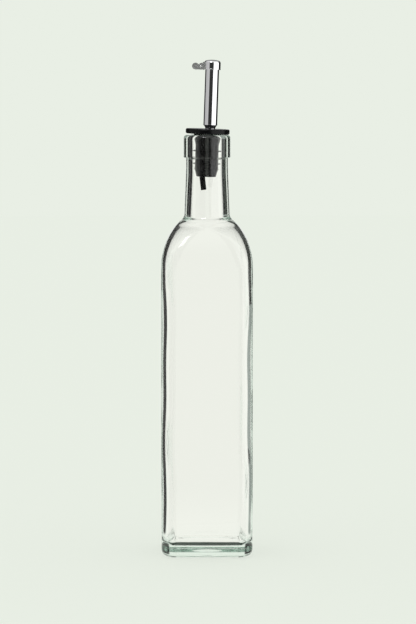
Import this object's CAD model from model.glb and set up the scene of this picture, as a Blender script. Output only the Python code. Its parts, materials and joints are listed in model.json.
"""A square glass oil bottle with a flap pourer, on a plain pale floor.

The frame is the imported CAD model. Lengths in this script are millimetres until a mesh is made.
"""

import json
import math

import bmesh
import bpy
from mathutils import Matrix, Vector


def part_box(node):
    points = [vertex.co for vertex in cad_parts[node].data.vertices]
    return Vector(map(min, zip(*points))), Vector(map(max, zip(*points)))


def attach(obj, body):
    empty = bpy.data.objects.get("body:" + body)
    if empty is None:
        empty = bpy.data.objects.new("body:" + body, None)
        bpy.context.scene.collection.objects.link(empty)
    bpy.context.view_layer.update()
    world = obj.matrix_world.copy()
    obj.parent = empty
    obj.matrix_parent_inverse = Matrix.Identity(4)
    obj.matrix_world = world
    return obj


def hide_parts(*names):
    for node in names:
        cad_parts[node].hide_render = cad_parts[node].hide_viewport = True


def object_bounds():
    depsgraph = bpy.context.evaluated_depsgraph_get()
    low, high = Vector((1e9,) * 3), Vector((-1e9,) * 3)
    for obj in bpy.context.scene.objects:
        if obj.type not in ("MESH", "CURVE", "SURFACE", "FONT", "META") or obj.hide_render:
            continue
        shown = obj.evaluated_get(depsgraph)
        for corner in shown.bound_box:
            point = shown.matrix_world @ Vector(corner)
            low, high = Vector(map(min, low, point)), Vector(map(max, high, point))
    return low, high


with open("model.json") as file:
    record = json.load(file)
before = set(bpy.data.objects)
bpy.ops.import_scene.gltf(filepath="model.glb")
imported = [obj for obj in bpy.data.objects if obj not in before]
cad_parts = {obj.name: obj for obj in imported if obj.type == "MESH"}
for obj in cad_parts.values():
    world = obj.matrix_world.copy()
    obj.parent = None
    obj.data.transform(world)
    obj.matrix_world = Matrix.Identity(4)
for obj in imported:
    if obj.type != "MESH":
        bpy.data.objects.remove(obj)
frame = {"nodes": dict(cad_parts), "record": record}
cad_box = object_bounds()

MM = 0.001
record = frame["record"]
joints = {j["name"]: j for j in record["behaviour"]["joints"]}
mounts = {m["name"]: m for m in record["mounts"]}


def box_mm(node):
    """Lowest and highest corner of a CAD node, in millimetres."""
    lo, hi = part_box(node)
    return [v / MM for v in lo], [v / MM for v in hi]


# ---------------------------------------------------------------- camera

def make_camera():
    """Looks along +Y from a little above the object, as the photograph does."""
    lo, hi = cad_box
    distance, height_in_view = 1.8, 0.3937
    azimuth, elevation = math.radians(0.0), math.radians(5.0)
    aim = Vector((0.0006, 0.0, (lo.z + hi.z) / 2 - 0.0031))
    data = bpy.data.cameras.new("camera")
    data.lens = data.sensor_width * distance / height_in_view
    data.clip_start, data.clip_end = 0.01, 50
    camera = bpy.data.objects.new("camera", data)
    bpy.context.scene.collection.objects.link(camera)
    back = Vector((math.sin(azimuth) * math.cos(elevation),
                   -math.cos(azimuth) * math.cos(elevation), math.sin(elevation)))
    camera.location = aim + back * distance
    camera.rotation_mode = "QUATERNION"
    camera.rotation_quaternion = (-back).to_track_quat("-Z", "Y")
    bpy.context.scene.camera = camera


make_camera()


# ---------------------------------------------------------------- node tools

def calc(nt, operation, *values):
    """A math node. Each value is a number or another node's output."""
    node = nt.nodes.new("ShaderNodeMath")
    node.operation = operation
    for socket, value in zip(node.inputs, values):
        if isinstance(value, (int, float)):
            socket.default_value = value
        else:
            nt.links.new(value, socket)
    return node.outputs["Value"]


def smooth(nt, value, low, high):
    """0 up to low, 1 from high, and an even turn between them."""
    node = nt.nodes.new("ShaderNodeMapRange")
    node.interpolation_type = "SMOOTHSTEP"
    node.inputs["From Min"].default_value = low
    node.inputs["From Max"].default_value = high
    nt.links.new(value, node.inputs["Value"])
    return node.outputs["Result"]


def within(nt, value, edges):
    """1 between the two middle edges, 0 outside the outer two, and an even turn between them."""
    a, b, c, d = edges
    turned = calc(nt, "MULTIPLY", value, -1.0)
    return calc(nt, "MULTIPLY", smooth(nt, value, a, b), smooth(nt, turned, -d, -c))


def mixed(nt, factor, a, b):
    """A colour between a and b, each a colour or another node's output."""
    node = nt.nodes.new("ShaderNodeMix")
    node.data_type = "RGBA"
    sockets = {s.identifier: s for s in node.inputs}
    nt.links.new(factor, sockets["Factor_Float"])
    for name, value in (("A_Color", a), ("B_Color", b)):
        if isinstance(value, tuple):
            sockets[name].default_value = (*value, 1)
        else:
            nt.links.new(value, sockets[name])
    return next(s for s in node.outputs if s.identifier == "Result_Color")


# ---------------------------------------------------------------- studio

PALE = (0.815, 0.862, 0.783)
WORLD_R = 10.0
FLOOR_R, FLOOR_DROP = 4.0, 0.0002
# Share of the floor's colour that comes from light falling on it, and so shows a shadow
SHADOW = 0.2
# The backdrop as it is lit for what shows through both walls, brighter by what the walls take away
THROUGH = (0.888, 0.903, 0.833)
# Glass surfaces crossed by a ray that has been through part of one wall, and through both walls
ONE_WALL, BOTH_WALLS = 0.5, 3.5
# A ray with more bounces than this has zigzagged inside a wall, and sees the plain backdrop
THROWN_DEPTH = 6.5
# Flags beside the object: on its left, on its right near the object, and on its right far from it
FLAG_LEFT = (0.0, 0.0, 0.0)
FLAG_NEAR = (0.26, 0.30, 0.27)
FLAG_FAR = (0.02, 0.025, 0.02)
# Soft edges of the flags: in half the sine of twice the azimuth, and in metres from the object
FLAG_TURN = (0.16, 0.24)
FLAG_START = (0.07, 0.13)
FLAG_FAR_START = (2.0, 2.8)
# The floor under the bottle, as the glass foot shows it, and how far out it reaches
FOOT_DARK = (0.02, 0.035, 0.025)
FOOT_SHADE = 0.034
# What metal and rubber mirror, round the object: (azimuth in degrees, share of ROUND_GAIN).
# Azimuth 0 is the camera's side, and it grows to the right.
ROUND = [(-180, 0.5), (-168, 0.5), (-162, 0.0), (-118, 0.0), (-108, 0.3), (-44, 0.36), (-36, 0.02),
         (16, 0.02), (26, 1.0), (92, 1.0), (104, 0.0), (162, 0.0), (168, 0.5), (180, 0.5)]
ROUND_GAIN = 1.6
# A dark card behind the object, above the horizon, by Y and Z of the direction
BEHIND = (0.04, 0.04, 0.04)
BEHIND_Y, BEHIND_Z = (0.3, 0.6), (0.06, 0.12)
# A soft light overhead, by Z of the direction
OVERHEAD = (0.75, 0.75, 0.75)
OVERHEAD_Z = (0.3, 0.95)
# A small window high on the left, by Z of the direction and by azimuth in radians
WINDOW = (7.0, 7.0, 7.0)
WINDOW_Z = (0.68, 0.70, 0.88, 0.90)
WINDOW_AZIMUTH = (-0.70, -0.67, -0.18, -0.15)
# Metres from the object over which the pale floor at its foot gives way to the cards
FLOOR_NEAR = (0.1, 0.35)


def seen_through(nt, place):
    """What the glass shows of the studio, by the place that a ray reaches.

    Through both walls, or along inside a wall, that is the pale backdrop. A ray that a glass edge throws
    aside sees it only near the object's four directions, with dark flags between them.
    """
    path = nt.nodes.new("ShaderNodeLightPath")
    split = nt.nodes.new("ShaderNodeSeparateXYZ")
    nt.links.new(place, split.inputs[0])
    x, y = split.outputs["X"], split.outputs["Y"]
    square = calc(nt, "ADD", calc(nt, "MULTIPLY", x, x), calc(nt, "MULTIPLY", y, y))
    turn = calc(nt, "DIVIDE", calc(nt, "ABSOLUTE", calc(nt, "MULTIPLY", x, y)), square)
    off = smooth(nt, square, *[d ** 2 for d in FLAG_START])
    aside = calc(nt, "MULTIPLY", smooth(nt, turn, *FLAG_TURN), off)
    crossed = path.outputs["Transmission Depth"]
    past_both = calc(nt, "GREATER_THAN", crossed, BOTH_WALLS)
    past_one = calc(nt, "SUBTRACT", calc(nt, "GREATER_THAN", crossed, ONE_WALL), past_both)
    thrown = calc(nt, "MULTIPLY", past_one, calc(nt, "LESS_THAN", path.outputs["Ray Depth"], THROWN_DEPTH))
    right = mixed(nt, smooth(nt, square, *[d ** 2 for d in FLAG_FAR_START]), FLAG_NEAR, FLAG_FAR)
    flag = mixed(nt, calc(nt, "GREATER_THAN", x, 0.0), FLAG_LEFT, right)
    clear = mixed(nt, past_both, PALE, THROUGH)
    flagged = mixed(nt, calc(nt, "MULTIPLY", aside, thrown), clear, flag)
    under = calc(nt, "MULTIPLY", past_one, calc(nt, "LESS_THAN", square, FOOT_SHADE ** 2))
    return mixed(nt, under, flagged, FOOT_DARK)


def mirrored(nt, place):
    """What the object's surfaces mirror: cards all round, a soft top light, a window and the floor."""
    unit = nt.nodes.new("ShaderNodeVectorMath")
    unit.operation = "NORMALIZE"
    nt.links.new(place, unit.inputs[0])
    split = nt.nodes.new("ShaderNodeSeparateXYZ")
    nt.links.new(unit.outputs["Vector"], split.inputs[0])
    x, y, z = split.outputs["X"], split.outputs["Y"], split.outputs["Z"]
    azimuth = calc(nt, "ARCTAN2", x, calc(nt, "MULTIPLY", y, -1.0))
    share = calc(nt, "MULTIPLY_ADD", azimuth, 0.5 / math.pi, 0.5)
    ramp = nt.nodes.new("ShaderNodeValToRGB")
    stops = ramp.color_ramp.elements
    while len(stops) < len(ROUND):
        stops.new(0.5)
    for stop, (degrees, grey) in zip(stops, ROUND):
        stop.position = degrees / 360 + 0.5
        stop.color = (grey, grey, grey, 1)
    nt.links.new(share, ramp.inputs["Fac"])
    gained = nt.nodes.new("ShaderNodeVectorMath")
    gained.operation = "SCALE"
    gained.inputs["Scale"].default_value = ROUND_GAIN
    nt.links.new(ramp.outputs["Color"], gained.inputs[0])
    behind = calc(nt, "MULTIPLY", smooth(nt, y, *BEHIND_Y), smooth(nt, z, *BEHIND_Z))
    sides = mixed(nt, behind, gained.outputs["Vector"], BEHIND)
    roofed = mixed(nt, smooth(nt, z, *OVERHEAD_Z), sides, OVERHEAD)
    pane = calc(nt, "MULTIPLY", within(nt, z, WINDOW_Z), within(nt, azimuth, WINDOW_AZIMUTH))
    lit = mixed(nt, pane, roofed, WINDOW)
    # The world lies WORLD_R off, so only the floor is ever as near as this
    near = nt.nodes.new("ShaderNodeVectorMath")
    near.operation = "LENGTH"
    nt.links.new(place, near.inputs[0])
    return mixed(nt, smooth(nt, near.outputs["Value"], *FLOOR_NEAR), PALE, lit)


def studio_light(nt, place, glow):
    """Sets what a glowing surface shows to the camera and the glass, and to mirrored rays."""
    path = nt.nodes.new("ShaderNodeLightPath")
    colour = mixed(nt, path.outputs["Is Reflection Ray"], seen_through(nt, place), mirrored(nt, place))
    nt.links.new(colour, glow.inputs["Color"])


def make_world():
    """Even white light on everything; what the camera, glass and metal see is set apart from it."""
    world = bpy.data.worlds.new("studio")
    world.use_nodes = True
    nt = world.node_tree
    nt.nodes.clear()
    out = nt.nodes.new("ShaderNodeOutputWorld")
    coord = nt.nodes.new("ShaderNodeTexCoord")
    far = nt.nodes.new("ShaderNodeVectorMath")
    far.operation = "SCALE"
    far.inputs["Scale"].default_value = WORLD_R
    nt.links.new(coord.outputs["Generated"], far.inputs[0])
    seen = nt.nodes.new("ShaderNodeBackground")
    studio_light(nt, far.outputs["Vector"], seen)
    lamp = nt.nodes.new("ShaderNodeBackground")
    lamp.inputs["Color"].default_value = (1, 1, 1, 1)
    path = nt.nodes.new("ShaderNodeLightPath")
    lit = nt.nodes.new("ShaderNodeMixShader")
    nt.links.new(path.outputs["Is Diffuse Ray"], lit.inputs["Fac"])
    nt.links.new(seen.outputs["Background"], lit.inputs[1])
    nt.links.new(lamp.outputs["Background"], lit.inputs[2])
    nt.links.new(lit.outputs["Shader"], out.inputs["Surface"])
    bpy.context.scene.world = world


def floor_material():
    """The backdrop's own glow, with only a faint share of the object's shadow."""
    mat = bpy.data.materials.new("floor")
    mat.use_nodes = True
    nt = mat.node_tree
    nt.nodes.clear()
    out = nt.nodes.new("ShaderNodeOutputMaterial")
    coord = nt.nodes.new("ShaderNodeTexCoord")
    glow = nt.nodes.new("ShaderNodeEmission")
    studio_light(nt, coord.outputs["Object"], glow)
    matte = nt.nodes.new("ShaderNodeBsdfDiffuse")
    matte.inputs["Color"].default_value = (*PALE, 1)
    path = nt.nodes.new("ShaderNodeLightPath")
    mix = nt.nodes.new("ShaderNodeMixShader")
    nt.links.new(calc(nt, "MULTIPLY", path.outputs["Is Camera Ray"], SHADOW), mix.inputs["Fac"])
    nt.links.new(glow.outputs[0], mix.inputs[1])
    nt.links.new(matte.outputs[0], mix.inputs[2])
    nt.links.new(mix.outputs["Shader"], out.inputs["Surface"])
    return mat


def make_floor():
    """A round floor just under the object."""
    bm = bmesh.new()
    bmesh.ops.create_circle(bm, cap_ends=True, segments=96, radius=FLOOR_R)
    mesh = bpy.data.meshes.new("floor")
    bm.to_mesh(mesh)
    bm.free()
    floor = bpy.data.objects.new("floor", mesh)
    bpy.context.scene.collection.objects.link(floor)
    floor.location.z = cad_box[0].z - FLOOR_DROP
    mesh.materials.append(floor_material())


make_world()
make_floor()


# ---------------------------------------------------------------- materials

# Scales of the fine noise, per metre
RUBBER_GRAIN, STEEL_GRAIN = 900.0, 700.0


def new_material(name):
    """A material, its nodes and its shader."""
    mat = bpy.data.materials.new(name)
    mat.use_nodes = True
    nt = mat.node_tree
    return mat, nt, nt.nodes["Principled BSDF"]


def noise_bump(nt, shader, scale, strength, distance, detail=3.0):
    """Fine unevenness of the surface, in the object's own space."""
    coord = nt.nodes.new("ShaderNodeTexCoord")
    noise = nt.nodes.new("ShaderNodeTexNoise")
    noise.inputs["Scale"].default_value = scale
    noise.inputs["Detail"].default_value = detail
    bump = nt.nodes.new("ShaderNodeBump")
    bump.inputs["Strength"].default_value = strength
    bump.inputs["Distance"].default_value = distance
    nt.links.new(coord.outputs["Object"], noise.inputs["Vector"])
    nt.links.new(noise.outputs["Fac"], bump.inputs["Height"])
    nt.links.new(bump.outputs["Normal"], shader.inputs["Normal"])
    return noise


def ramp_from(nt, noise, low, high, target):
    """Sets a socket from the noise, between low and high."""
    ramp = nt.nodes.new("ShaderNodeMapRange")
    ramp.inputs["To Min"].default_value = low
    ramp.inputs["To Max"].default_value = high
    nt.links.new(noise.outputs["Fac"], ramp.inputs["Value"])
    nt.links.new(ramp.outputs["Result"], target)


def glass_material():
    """Clear glass with a faint green in its depth."""
    mat, nt, shader = new_material("clear_glass")
    shader.inputs["Base Color"].default_value = (1, 1, 1, 1)
    shader.inputs["Roughness"].default_value = 0.0
    shader.inputs["IOR"].default_value = 1.5
    shader.inputs["Transmission Weight"].default_value = 1.0
    out = nt.nodes["Material Output"]
    volume = nt.nodes.new("ShaderNodeVolumeAbsorption")
    volume.inputs["Color"].default_value = (0.62, 0.86, 0.76, 1)
    volume.inputs["Density"].default_value = 4.0
    nt.links.new(volume.outputs["Volume"], out.inputs["Volume"])
    return mat


def rubber_material(name, colour, roughness):
    """Black rubber with a fine grain and uneven gloss."""
    mat, nt, shader = new_material(name)
    shader.inputs["Base Color"].default_value = (*colour, 1)
    shader.inputs["Specular IOR Level"].default_value = 0.15
    noise = noise_bump(nt, shader, RUBBER_GRAIN, 0.12, 0.00005)
    ramp_from(nt, noise, roughness - 0.08, roughness + 0.1, shader.inputs["Roughness"])
    return mat


def steel_material(name, colour, roughness, bump):
    """Steel with slight unevenness and patches of softer gloss."""
    mat, nt, shader = new_material(name)
    shader.inputs["Base Color"].default_value = (*colour, 1)
    shader.inputs["Metallic"].default_value = 1.0
    noise = noise_bump(nt, shader, STEEL_GRAIN, bump, 0.00004)
    ramp_from(nt, noise, roughness * 0.7, roughness * 1.4, shader.inputs["Roughness"])
    return mat


GLASS = glass_material()
RUBBER = rubber_material("black_rubber", (0.004, 0.004, 0.0045), 0.2)
SLEEVE = rubber_material("black_sleeve", (0.004, 0.004, 0.004), 0.45)
POLISHED = steel_material("polished_steel", (0.88, 0.88, 0.89), 0.06, 0.03)
SATIN = steel_material("satin_steel", (0.60, 0.61, 0.60), 0.42, 0.03)


# ---------------------------------------------------------------- mesh tools

def arc(x, z, r, a, b, steps):
    """Points of an arc round (x, z) from angle a to angle b, in degrees."""
    turns = [math.radians(a + (b - a) * i / steps) for i in range(steps + 1)]
    return [(x + r * math.cos(t), z + r * math.sin(t)) for t in turns]


def between(a, b, steps):
    """Points from a to b, without the two ends."""
    return [tuple(p + (q - p) * i / steps for p, q in zip(a, b)) for i in range(1, steps)]


def mark_edges(bm):
    """Smooth faces, with a sharp edge wherever two of them meet at more than 40 degrees."""
    for face in bm.faces:
        face.smooth = True
    for edge in bm.edges:
        edge.smooth = edge.calc_face_angle(0) < math.radians(40)


def mesh_object(name, bm, place=None):
    """An object from a mesh in millimetres, put in its place in the frame."""
    if place is not None:
        bmesh.ops.transform(bm, matrix=place, verts=bm.verts)
    bmesh.ops.scale(bm, vec=(MM, MM, MM), verts=bm.verts)
    bmesh.ops.recalc_face_normals(bm, faces=bm.faces)
    mark_edges(bm)
    mesh = bpy.data.meshes.new(name)
    bm.to_mesh(mesh)
    bm.free()
    obj = bpy.data.objects.new(name, mesh)
    bpy.context.scene.collection.objects.link(obj)
    return obj


def loft(rings):
    """A mesh through closed rings of points; the first and last rings close in a point if they are one."""
    bm = bmesh.new()
    made = [[bm.verts.new(p) for p in ring] for ring in rings]
    for a, b in zip(made, made[1:]):
        n = max(len(a), len(b))
        for i in range(n):
            j = (i + 1) % n
            if len(a) == 1:
                bm.faces.new((a[0], b[j], b[i]))
            elif len(b) == 1:
                bm.faces.new((a[i], a[j], b[0]))
            else:
                bm.faces.new((a[i], a[j], b[j], b[i]))
    return bm


def lathe(profile, segments=96, closed=False):
    """Turns (radius, z) points about Z. closed joins the last point to the first."""
    rings = []
    for r, z in profile:
        if r < 1e-6:
            rings.append([(0, 0, z)])
        else:
            turns = [2 * math.pi * i / segments for i in range(segments)]
            rings.append([(r * math.cos(t), r * math.sin(t), z) for t in turns])
    bm = bmesh.new()
    made = [[bm.verts.new(p) for p in ring] for ring in rings]
    pairs = list(zip(made, made[1:]))
    if closed:
        pairs.append((made[-1], made[0]))
    for a, b in pairs:
        for i in range(segments):
            j = (i + 1) % segments
            if len(a) == 1 and len(b) == 1:
                break
            if len(a) == 1:
                bm.faces.new((a[0], b[j], b[i]))
            elif len(b) == 1:
                bm.faces.new((a[i], a[j], b[0]))
            else:
                bm.faces.new((a[i], a[j], b[j], b[i]))
    return bm


def dress(obj, material, body, slot, *nodes):
    """Gives a piece its material, body and slot, and the CAD nodes that it stands for."""
    obj.data.materials.append(material)
    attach(obj, body)
    if nodes:
        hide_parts(*nodes)


# ---------------------------------------------------------------- glass bottle

lo, hi = box_mm("glass_bottle")
HALF = (hi[0] - lo[0]) / 2
LIP_Z = hi[2]
EDGE_R = 8.0
WALL = 2.8
HEEL_R = 5.0
FLOOR_T = 7.0
INNER_HEEL_R = 7.0
SHOULDER_Z = 182.5
SHOULDER_R = 38.0
SHOULDER_X = HALF - SHOULDER_R
CORNER_Z = 177.5
CORNER_R = 35.4
RING_R = mounts["neck_ring"]["dims"]["r_mm"]
RING_Z = 249.7
NECK_R = 13.1
FOOT_R = 14.2
FILLET_R = 5.0
TAPER_L = 6.5
NECK_EDGE_R, RING_EDGE_R = 0.8, 0.6
LIP_R, MOUTH_R = 2.2, 1.4
BORE_R = 9.25
BORE_Z = 238.5
INNER_FOOT_R = BORE_R + 1.05
INNER_FILLET_R = FILLET_R - 2
PUNT_R, PUNT_H = 18.0, 2.5
# How much higher the inner floor is in the middle
CROWN = 0.9
AROUND = 320
WOBBLE = 1.1
INNER_EDGE_R = 6.5


def reach(w, r):
    """Distance from the axis to the middle of a rounded corner."""
    return w * math.sqrt(2) - r * (math.sqrt(2) - 1)


def square_ring(w, corner, z, wave=None):
    """A rounded square of half-width w whose corners reach to corner."""
    rc = (w * math.sqrt(2) - corner) / (math.sqrt(2) - 1)
    rc = min(max(rc, 0.5), w)
    a = w - rc
    ring = []
    for i in range(AROUND):
        u = 2 * math.pi * i / AROUND
        t = u + 0.125 * math.sin(4 * u)
        f = abs(math.fmod(t + math.pi / 4, math.pi / 2) - math.pi / 4)
        if math.tan(f) * w <= a:
            r = w / math.cos(f)
        else:
            r = a * (math.cos(f) + math.sin(f)) + math.sqrt(
                max(a * a * (1 + math.sin(2 * f)) - 2 * a * a + rc * rc, 0))
        if wave:
            r += wave(t, z)
        ring.append((r * math.cos(t), r * math.sin(t), z))
    return ring


def body_stations(w, edge, low, low_r, r, foot, fillet, corner_r, steps):
    """(half-width, corner reach, height) from the floor up to the foot of the neck.

    steps is the number of rings up the straight side.
    """
    full = reach(w, edge)
    corner_x = reach(HALF, EDGE_R) - CORNER_R
    rows = []
    for x, z in arc(w - low_r, low + low_r, low_r, -90, 0, 16):
        rows.append((x, full - (w - x), z))
    rows += between(rows[-1], (w, full, CORNER_Z), steps) + [(w, full, CORNER_Z)]

    def corner(z):
        """Corner reach at height z, where the upright edge rounds off."""
        return corner_x + math.sqrt(max(corner_r ** 2 - (z - CORNER_Z) ** 2, 0))

    rows += [(w, corner(CORNER_Z + i), CORNER_Z + i) for i in range(1, int(SHOULDER_Z - CORNER_Z) + 1)]
    top = math.degrees(math.acos((foot + fillet - SHOULDER_X) / (r + fillet)))
    for x, z in arc(SHOULDER_X, SHOULDER_Z, r, 0, top, 40)[1:]:
        rows.append((x, max(corner(z), x), z))
    centre_z = SHOULDER_Z + (r + fillet) * math.sin(math.radians(top))
    for x, z in arc(foot + fillet, centre_z, fillet, 180 + top, 180, 12)[1:]:
        rows.append((x, x, z))
    return rows


def wobble(t, z):
    """Unevenness of the inner wall, strongest at the upright edges."""
    edge = math.sin(2 * t) ** 2
    quarter = math.floor(t / (math.pi / 2)) % 4
    fade = min(1.0, max(0.0, (200 - z) / 30)) * min(1.0, max(0.0, (z - 8) / 15))
    wave = 0.45 * math.sin(z * 0.052 + quarter * 1.9) + 0.3 * math.sin(z * 0.117 + 0.7 + quarter * 2.6)
    flat = 0.05 * math.sin(z * 0.04 + 2 * t)
    return fade * (wave * edge * WOBBLE + flat * WOBBLE)


def circle_rows(points):
    """Stations of a round part, from (radius, height) points."""
    return [(r, r, z) for r, z in points]


def make_bottle():
    """The bottle as one closed skin: underside, outside, lip, neck bore, inside and inner floor."""
    outer = body_stations(HALF, EDGE_R, 0, HEEL_R, SHOULDER_R, FOOT_R, FILLET_R, CORNER_R, 8)
    neck = [(FOOT_R, outer[-1][2]), (NECK_R, RING_Z - TAPER_L)]
    outer += circle_rows(between(neck[0], neck[1], 12) + [neck[1]])
    outer += circle_rows([(NECK_R, RING_Z - 3), (NECK_R, RING_Z - 1)])
    outer += circle_rows(arc(NECK_R + NECK_EDGE_R, RING_Z - NECK_EDGE_R, NECK_EDGE_R, 180, 90, 4)[1:])
    outer += circle_rows(arc(RING_R - RING_EDGE_R, RING_Z + RING_EDGE_R, RING_EDGE_R, -90, 0, 6))
    outer += circle_rows(between((RING_R, RING_Z + RING_EDGE_R), (RING_R, LIP_Z - LIP_R), 8))
    outer += circle_rows(arc(RING_R - LIP_R, LIP_Z - LIP_R, LIP_R, 0, 90, 12))
    inner_r = SHOULDER_R - WALL
    inner_corner = reach(HALF - WALL, INNER_EDGE_R) - (reach(HALF, EDGE_R) - CORNER_R)
    inner = body_stations(HALF - WALL, INNER_EDGE_R, FLOOR_T, INNER_HEEL_R, inner_r,
                          INNER_FOOT_R, INNER_FILLET_R, inner_corner, 90)
    inner += circle_rows(between((INNER_FOOT_R, inner[-1][2]), (BORE_R, BORE_Z), 8) + [(BORE_R, BORE_Z)])
    inner += circle_rows(between((BORE_R, BORE_Z), (BORE_R, LIP_Z - MOUTH_R), 12))
    inner += circle_rows(arc(BORE_R + MOUTH_R, LIP_Z - MOUTH_R, MOUTH_R, 180, 90, 10))
    # Underside: the flat standing ring, then the shallow hollow
    w, c = outer[0][:2]
    under = [(PUNT_R * 0.02, PUNT_R * 0.02, PUNT_H)]
    under += [(PUNT_R * k, PUNT_R * k, PUNT_H * (1 - k * k))
              for k in (0.1, 0.25, 0.4, 0.55, 0.7, 0.82, 0.92, 1.0)]
    under += between((PUNT_R, PUNT_R, 0), (w, c, 0), 5)
    # Inner floor, a little higher in the middle
    w, c, z = inner[0]
    floor = [(w * k, c * k if k > 0.6 else w * k, z + CROWN * (1 - k) ** 1.5)
             for k in (0.02, 0.1, 0.25, 0.4, 0.55, 0.7, 0.85)]
    rings = [square_ring(*row) for row in under + outer]
    rings += [square_ring(*row, wave=wobble) for row in reversed(floor + inner)]
    rings = [[(0, 0, PUNT_H)]] + rings + [[(0, 0, z + CROWN)]]
    bottle = mesh_object("bottle_glass", loft(rings))
    dress(bottle, GLASS, "bottle", "clear_glass", "glass_bottle")


make_bottle()


# ---------------------------------------------------------------- pourer

# The whole pourer leans in the neck, about a point on the neck's axis
LEAN = math.asin(joints["spout_turn"]["axis"][0])
LEAN_Z = LIP_Z - 9
POURER = (Matrix.Translation((0, 0, LEAN_Z)) @ Matrix.Rotation(LEAN, 4, "Y")
          @ Matrix.Translation((0, 0, -LEAN_Z)))


def joint_point(name):
    """A joint's place in the pourer's own frame, in millimetres."""
    return POURER.inverted() @ (Vector(joints[name]["pos_m"]) / MM)


SPOUT_X = joint_point("spout_turn").x
SPOUT = POURER @ Matrix.Translation((SPOUT_X, 0, 0))
HINGE_X = joint_point("flap_open").x - SPOUT_X
HINGE_Z = joint_point("flap_open").z
HINGE = SPOUT @ Matrix.Translation((HINGE_X, 0, HINGE_Z)) @ Matrix.Rotation(math.pi / 2, 4, "X")
# The air tube's axis, which doesn't lean with the rest
AIR_X = -3.04
AIR_SLANT = math.radians(-6.5)


def span(node, place):
    """Lowest and highest corner of a CAD node in a piece's own frame, in millimetres."""
    back = place.inverted()
    points = [back @ (v.co / MM) for v in frame["nodes"][node].data.vertices]
    return [min(c) for c in zip(*points)], [max(c) for c in zip(*points)]


PLUG_Z = span("stopper", POURER)[0][2]
AIR = Matrix.Translation((AIR_X, 0, PLUG_Z)) @ Matrix.Rotation(AIR_SLANT, 4, "Y")
# The stopper: its hollow, its plug below the lip, its fins and its flange
CHAMBER_R, CHAMBER_Z = 5.2, PLUG_Z + 9.3
PLUG_R, CONE_R = 7.3, 8.6
TOE_R, TOE_Z = 6.2, PLUG_Z + 4.4
FIN_R, FIN_PITCH, FIN_Z = 9.2, 4, LIP_Z - 10.1
FLANGE_T, FLANGE_EDGE_R = 3.2, 0.9
# The spout: the shank held in the stopper, the bead round it, and the tube above the flare
SHANK_R, SHANK_T = 3.1, 0.5
BEAD_Z, BEAD_H, BEAD_R = 258.0, 1.2, 3.5
TUBE_R, TUBE_T, TUBE_L = 4.35, 0.5, 39.27
# The air tube and its sleeve
AIR_R, AIR_T = 1.0, 0.25
SLEEVE_R, SLEEVE_IN = 1.75, 17.0
# The flap: cap, lever and hinge
CAP_R, CAP_T, CAP_EDGE_R, CAP_DOME = 5.2, 0.45, 1.7, 0.4
GATE_GAP, RELIEF_H, RELIEF_HALF = 0.3, 0.75, 3.4
TONGUE_W, TONGUE_R = 2.4, 0.85
PIN_R, PIN_HEAD_R, PIN_HEAD_T = 0.45, 0.8, 0.25
ROLL_R = 1.6
# Room round what moves, and round what is pressed in
GAP = 0.05
SLIP = 0.01
# A tool reaches this much past the piece that it cuts
PAST = 1
# Ends of the tools that cut the flap and the hinge, and the length of the one for the air tube
BELOW_FLAP, ABOVE_FLAP, ACROSS_HINGE = 300, 315, 4
AIR_TOOL_L = 40


def rod(r, low, high, place, segments=64):
    """A plain round tool for cutting holes."""
    return mesh_object("tool", lathe([(0, low), (r, low), (r, high), (0, high)], segments), place)


def block(low, high, place):
    """A plain square tool for cutting slots."""
    bm = bmesh.new()
    bmesh.ops.create_cube(bm, size=1)
    size = [b - a for a, b in zip(low, high)]
    middle = [(a + b) / 2 for a, b in zip(low, high)]
    bmesh.ops.scale(bm, vec=size, verts=bm.verts)
    bmesh.ops.translate(bm, vec=middle, verts=bm.verts)
    return mesh_object("tool", bm, place)


def prism(outline, half, place):
    """A tool with an outline in X and Z, from -half to half along Y."""
    bm = bmesh.new()
    ends = [[bm.verts.new((x, y, z)) for x, z in outline] for y in (-half, half)]
    for i in range(len(outline)):
        j = (i + 1) % len(outline)
        bm.faces.new((ends[0][i], ends[0][j], ends[1][j], ends[1][i]))
    for end in ends:
        bm.faces.new(end)
    return mesh_object("tool", bm, place)


def carve(obj, *tools):
    """Cuts each tool's shape out of a piece, and removes the tools."""
    for tool in tools:
        cut = obj.modifiers.new("cut", "BOOLEAN")
        cut.operation = "DIFFERENCE"
        cut.solver = "EXACT"
        cut.object = tool
    made = obj.evaluated_get(bpy.context.evaluated_depsgraph_get())
    mesh = bpy.data.meshes.new_from_object(made)
    obj.modifiers.clear()
    obj.data = mesh
    for tool in tools:
        bpy.data.objects.remove(tool)
    bm = bmesh.new()
    bm.from_mesh(mesh)
    bmesh.ops.remove_doubles(bm, verts=bm.verts, dist=1e-7)
    mark_edges(bm)
    bm.to_mesh(mesh)
    bm.free()


def plate(outline, half, flare, segments=4):
    """A clockwise outline in X and Z as a plate of twice half, along Y.

    Its rims curve outwards, so that each face is larger than the outline by flare.
    """
    rings = []
    for i in range(segments + 1):
        t = math.pi / 2 * i / segments
        rings.append((flare * (1 - math.sin(t)), half - flare * (1 - math.cos(t))))
    rows = [(out, -y) for out, y in rings] + [(out, y) for out, y in reversed(rings)]
    bm = bmesh.new()
    made = [[bm.verts.new((x, y, z)) for x, z in widened(outline, out)] for out, y in rows]
    for a, b in zip(made, made[1:]):
        for i in range(len(a)):
            j = (i + 1) % len(a)
            bm.faces.new((a[i], a[j], b[j], b[i]))
    bm.faces.new(made[0])
    bm.faces.new(list(reversed(made[-1])))
    return bm


def widened(outline, out):
    """A clockwise outline with each point moved outwards, square to the line through its neighbours."""
    moved = []
    n = len(outline)
    for i, (x, z) in enumerate(outline):
        ax, az = outline[i - 1]
        bx, bz = outline[(i + 1) % n]
        tx, tz = bx - ax, bz - az
        length = math.hypot(tx, tz)
        moved.append((x - tz / length * out, z + tx / length * out))
    return moved


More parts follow.
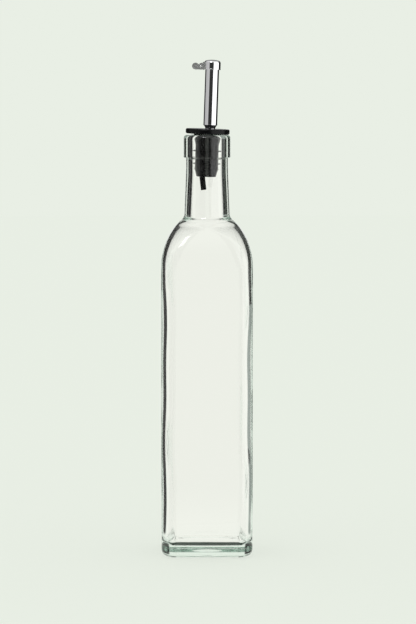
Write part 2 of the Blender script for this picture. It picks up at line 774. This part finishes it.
def fin(z):
    """A thin wiping fin whose rim turns up a little."""
    r = FIN_R - abs(z - LEAN_Z) * math.sin(LEAN)
    return [(PLUG_R, z - 0.75), (PLUG_R + 0.12, z - 0.5), (PLUG_R + 0.5, z - 0.32), (r - 0.6, z - 0.22),
            (r - 0.15, z - 0.02), (r, z + 0.22), (r - 0.02, z + 0.36), (r - 0.16, z + 0.38),
            (r - 0.6, z + 0.2), (PLUG_R + 0.5, z + 0.2), (PLUG_R + 0.12, z + 0.38), (PLUG_R, z + 0.62)]


def make_stopper():
    """The rubber plug, turned in one profile from its chamber round to the flange, then bored."""
    flange_r, flange_top = span("stopper", POURER)[1][1:]
    flange_z = flange_top - FLANGE_T
    edge_r = FLANGE_EDGE_R
    profile = [(0, CHAMBER_Z)]
    profile += arc(CHAMBER_R - 0.4, CHAMBER_Z - 0.4, 0.4, 90, 0, 4)
    profile += arc(CHAMBER_R + 0.25, PLUG_Z + 0.25, 0.25, 180, 270, 4)
    profile += arc(TOE_R - 0.45, PLUG_Z + 0.45, 0.45, -90, 0, 5)
    profile += between(profile[-1], (PLUG_R, TOE_Z), 4) + [(PLUG_R, TOE_Z)]
    profile += arc(PLUG_R - 0.1, TOE_Z + 0.4, 0.45, -60, 60, 6)
    for k in (2, 1, 0):
        profile += fin(FIN_Z - FIN_PITCH * k)
    profile += [(PLUG_R, LIP_Z - 6.4), (PLUG_R + 0.08, LIP_Z - 6.0), (CONE_R - 0.1, LIP_Z - 1.4),
                (CONE_R, LIP_Z - 0.9), (CONE_R, flange_z - 0.3)]
    profile += arc(CONE_R + 0.3, flange_z - 0.3, 0.3, 180, 90, 4)[1:]
    profile += arc(flange_r - edge_r, flange_z + edge_r, edge_r, -90, 0, 7)
    profile += arc(flange_r - edge_r, flange_top - edge_r, edge_r, 0, 90, 7)
    profile += [(flange_r - 2.2, flange_top), (6.6, flange_top), (0, flange_top)]
    stopper = mesh_object("stopper_rubber", lathe(profile, 128), POURER)
    carve(stopper,
          rod(SHANK_R + GAP, CHAMBER_Z - PAST, flange_top + PAST, SPOUT),
          rod(BEAD_R + GAP, BEAD_Z - GAP, BEAD_Z + BEAD_H + GAP, SPOUT),
          rod(SLEEVE_R + SLIP, -PAST, SLEEVE_IN + SLIP, AIR),
          rod(AIR_R + SLIP, -PAST, AIR_TOOL_L, AIR, 48))
    dress(stopper, RUBBER, "stopper", "black_rubber", "stopper")


def tube(name, r, bore, low, high, edge, place, segments=64):
    """A straight tube with rounded rims."""
    profile = (arc(r - edge, low + edge, edge, -90, 0, 4) + between((r, low), (r, high), 6)
               + arc(r - edge, high - edge, edge, 0, 90, 4)
               + arc(bore + edge, high - edge, edge, 90, 180, 4) + between((bore, high), (bore, low), 6)
               + arc(bore + edge, low + edge, edge, 180, 270, 4))
    return mesh_object(name, lathe(profile, segments, closed=True), place)


def make_air_way():
    """The air tube, and the black sleeve on its lower end."""
    low, high = span("air_tube", AIR)
    air = tube("air_tube_steel", AIR_R, AIR_R - AIR_T, low[2], high[2], 0.08, AIR)
    dress(air, POLISHED, "stopper", "polished_steel", "air_tube")
    low, high = span("breather_tube", AIR)
    sleeve = tube("breather_sleeve", SLEEVE_R, AIR_R + SLIP, low[2], high[2], 0.18, AIR)
    dress(sleeve, SLEEVE, "stopper", "black_sleeve", "breather_tube")


def make_spout():
    """The spout, turned in one closed profile: shank, bead, flare, tube, rolled rim and bore."""
    low, high = span("spout_tube", SPOUT)
    foot_z, tip_z = low[2], high[2]
    bulge_z = tip_z - TUBE_L
    bore, half_t, shank_bore = TUBE_R - TUBE_T, TUBE_T / 2, SHANK_R - SHANK_T
    profile = arc(SHANK_R - 0.15, foot_z + 0.15, 0.15, -90, 0, 3)
    profile += [(SHANK_R, BEAD_Z)] + arc(BEAD_R - 0.3, BEAD_Z + 0.3, 0.3, -90, 0, 4)
    profile += arc(BEAD_R - 0.3, BEAD_Z + BEAD_H - 0.3, 0.3, 0, 90, 4) + [(SHANK_R, BEAD_Z + BEAD_H)]
    profile += [(SHANK_R, bulge_z - 2.2), (SHANK_R + 0.06, bulge_z - 1.95), (4.0, bulge_z - 0.42)]
    profile += arc(TUBE_R - 0.3, bulge_z, 0.4, -40, 20, 6) + [(TUBE_R + 0.03, bulge_z + 0.3),
                                                            (TUBE_R, bulge_z + 0.5)]
    profile += between((TUBE_R, bulge_z + 0.5), (TUBE_R, tip_z - half_t), 24)
    profile += arc(TUBE_R - half_t, tip_z - half_t, half_t, 0, 180, 10)
    profile += between((bore, tip_z - half_t), (bore, bulge_z + 0.3), 8) + [(bore, bulge_z + 0.3)]
    profile += [(bore - 0.15, bulge_z), (shank_bore, bulge_z - 1.6), (shank_bore, foot_z + 0.1),
                (shank_bore + 0.1, foot_z)]
    spout = mesh_object("spout_steel", lathe(profile, 128, closed=True), SPOUT)
    dress(spout, POLISHED, "spout", "polished_steel", "spout_tube")


def make_tongue():
    """A tongue welded to the spout, its free end round about the hinge."""
    outline = arc(HINGE_X, HINGE_Z, TONGUE_R, 270, 90, 16)
    outline += [(-TUBE_R - 0.5, HINGE_Z + TONGUE_R), (-TUBE_R - 0.15, HINGE_Z + TONGUE_R + 0.05),
                (-TUBE_R + 0.28, HINGE_Z + TONGUE_R + 0.22), (-TUBE_R + 0.28, HINGE_Z - TONGUE_R - 0.22),
                (-TUBE_R - 0.15, HINGE_Z - TONGUE_R - 0.05), (-TUBE_R - 0.5, HINGE_Z - TONGUE_R)]
    tongue = mesh_object("hinge_tongue", plate(outline, TONGUE_W / 2, 0.12, 2), SPOUT)
    carve(tongue, rod(PIN_R + GAP, -ACROSS_HINGE, ACROSS_HINGE, HINGE, 32))
    dress(tongue, SATIN, "spout", "satin_steel", "hinge_bracket")


def make_pin():
    """The hinge's pin, with a low domed head at each end."""
    end = span("hinge_pin", HINGE)[1][2]
    side = [(PIN_R, end - PIN_HEAD_T), (PIN_HEAD_R, end - PIN_HEAD_T), (PIN_HEAD_R - 0.03, end - 0.14),
            (PIN_HEAD_R - 0.2, end - 0.05), (PIN_HEAD_R - 0.45, end - 0.01), (0, end)]
    profile = [(r, -z) for r, z in reversed(side)] + side
    pin = mesh_object("hinge_pin_steel", lathe(profile, 40), HINGE)
    dress(pin, SATIN, "flap", "satin_steel", "hinge_pin")


def cap_half(r, edge, top, dome, z):
    """Half of the cap's outline, from its crown down to height z."""
    foot_z = top - dome - edge
    shoulder = arc(r - edge, foot_z, edge, 78, 0, 10)
    x, y = shoulder[0]
    crown = [(x * k, top - (top - y) * k * k) for k in (0, 0.2, 0.4, 0.6, 0.8, 0.92)]
    return crown + shoulder + between((r, foot_z), (r, z), 4)


def make_cap():
    """The domed cap, with a hem, a gate for the tongue and a relief that clears the spout."""
    low, high = span("flap_cap", SPOUT)
    r, z, top = high[1], low[2], high[2] - 0.05
    edge, dome = CAP_EDGE_R, CAP_DOME
    profile = cap_half(r, edge, top, dome, z + 0.7)
    # Rolled hem round the lower rim
    profile += [(r, z + 0.7), (r + 0.02, z + 0.58), (r + 0.08, z + 0.5), (r + 0.08, z + 0.2), (r, z + 0.05),
                (r - 0.12, z), (r - CAP_T + 0.1, z), (r - CAP_T, z + 0.1)]
    profile += reversed(cap_half(r - CAP_T, edge - CAP_T, top - CAP_T, dome, z + 0.7))
    cap = mesh_object("flap_cap_steel", lathe(profile, 128), SPOUT)
    gate = TONGUE_W / 2 + GATE_GAP
    carve(cap,
          block((-r - PAST, -gate, z - PAST), (0, gate, HINGE_Z + TONGUE_R + GATE_GAP), SPOUT),
          block((-r - PAST, -RELIEF_HALF, z - PAST), (0, RELIEF_HALF, z + RELIEF_H), SPOUT))
    dress(cap, POLISHED, "flap", "polished_steel", "flap_cap")


def make_lever():
    """The thumb lever, slotted for the tongue and bored for the pin."""
    low, high = span("flap_lever", SPOUT)
    foot, root_z, half = low[2], high[2], high[1]
    roll_x, roll_z = low[0] + ROLL_R, foot + ROLL_R
    # Round the curled tip, along the dip, up to the root and over the lug beside the cap
    outline = arc(roll_x, roll_z, ROLL_R, 268, 42, 24)
    outline += [(-9.15, root_z - 0.78), (-8.8, root_z - 0.85), (-8.4, root_z - 0.78), (-7.9, root_z - 0.5),
                (-7.4, root_z - 0.18), (-7.0, root_z - 0.04), (-6.6, root_z), (-6.0, root_z)]
    outline += arc(-5.2, root_z + 0.15, 0.55, 165, 20, 8) + [(-4.2, root_z + 0.1), (-4.2, foot + 0.3)]
    outline += [(-4.4, foot), (-6.0, foot), (-8.0, foot)]
    lever = mesh_object("flap_lever_steel", plate(outline, half, 0.5), SPOUT)
    # The slot round the tongue is open below, so that the lever can swing down round it
    wide, left = TONGUE_R + 0.1, HINGE_X - TONGUE_R - 0.4
    slot = [(-1, BELOW_FLAP), (-1, HINGE_Z + wide)] + arc(HINGE_X, HINGE_Z, wide, 90, 175, 12)
    slot += [(left, HINGE_Z - 0.05), (left, BELOW_FLAP)]
    carve(lever,
          rod(CAP_R + SLIP, BELOW_FLAP, ABOVE_FLAP, SPOUT, 128),
          prism(slot, TONGUE_W / 2 + 0.1, SPOUT),
          rod(PIN_R + SLIP, -ACROSS_HINGE, ACROSS_HINGE, HINGE, 32))
    dress(lever, SATIN, "flap", "satin_steel", "flap_lever")


make_stopper()
make_air_way()
make_spout()
make_tongue()
make_pin()
make_cap()
make_lever()

scene = bpy.context.scene
scene.view_settings.view_transform = "Standard"
# A ray can zigzag many times inside a glass wall before it leaves by the far edge.
scene.cycles.max_bounces = 40
scene.cycles.glossy_bounces = 32
scene.cycles.transmission_bounces = 16
